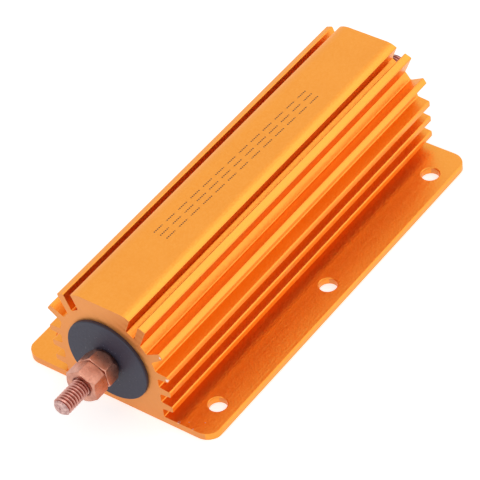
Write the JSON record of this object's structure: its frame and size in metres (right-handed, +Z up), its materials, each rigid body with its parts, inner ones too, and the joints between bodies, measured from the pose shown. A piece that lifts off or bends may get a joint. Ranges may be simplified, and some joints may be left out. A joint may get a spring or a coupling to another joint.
{
  "type": "aluminium housed power resistor",
  "caption": "Finned aluminium housing on drilled mounting flanges, holding a wirewound element, with a threaded stud terminal, insulating washer and hex nuts at its ends.",
  "frame": {"origin": "middle of the flat mounting face of the extruded body, half way along it", "axes": "+X across the body, +Y along it from the front terminal, which has the longer stud, to the rear one, +Z up from the mounting face"},
  "size_m": [0.047, 0.1174, 0.0263],
  "materials": {
    "anodised_aluminium": "orange-gold anodised over a fine matt blasted surface",
    "coppered_steel": "copper-plated steel, satin, slightly tarnished",
    "dark_fibre": "dark grey pressed fibre board, matt",
    "white_ceramic": "unglazed white steatite ceramic",
    "bush_ceramic": "unglazed cream ceramic",
    "resistance_wire": "drawn resistance alloy wire, dull grey",
    "cap_steel": "pressed steel, plain",
    "grey_cement": "cast inorganic cement, matt"
  },
  "bodies": {
    "root": {"housing": "anodised_aluminium", "ceramic_rod": "white_ceramic", "resistance_winding": "resistance_wire", "end_cap_front": "cap_steel", "end_cap_rear": "cap_steel", "terminal_stud_front": "coppered_steel", "terminal_stud_rear": "coppered_steel", "cement_fill": "grey_cement", "centring_bush_front": "bush_ceramic", "centring_bush_rear": "bush_ceramic", "insulating_washer_front": "dark_fibre", "insulating_washer_rear": "dark_fibre", "inner_nut_front": "coppered_steel", "inner_nut_rear": "coppered_steel", "terminal_nut_front": "coppered_steel"}
  },
  "joints": []
}
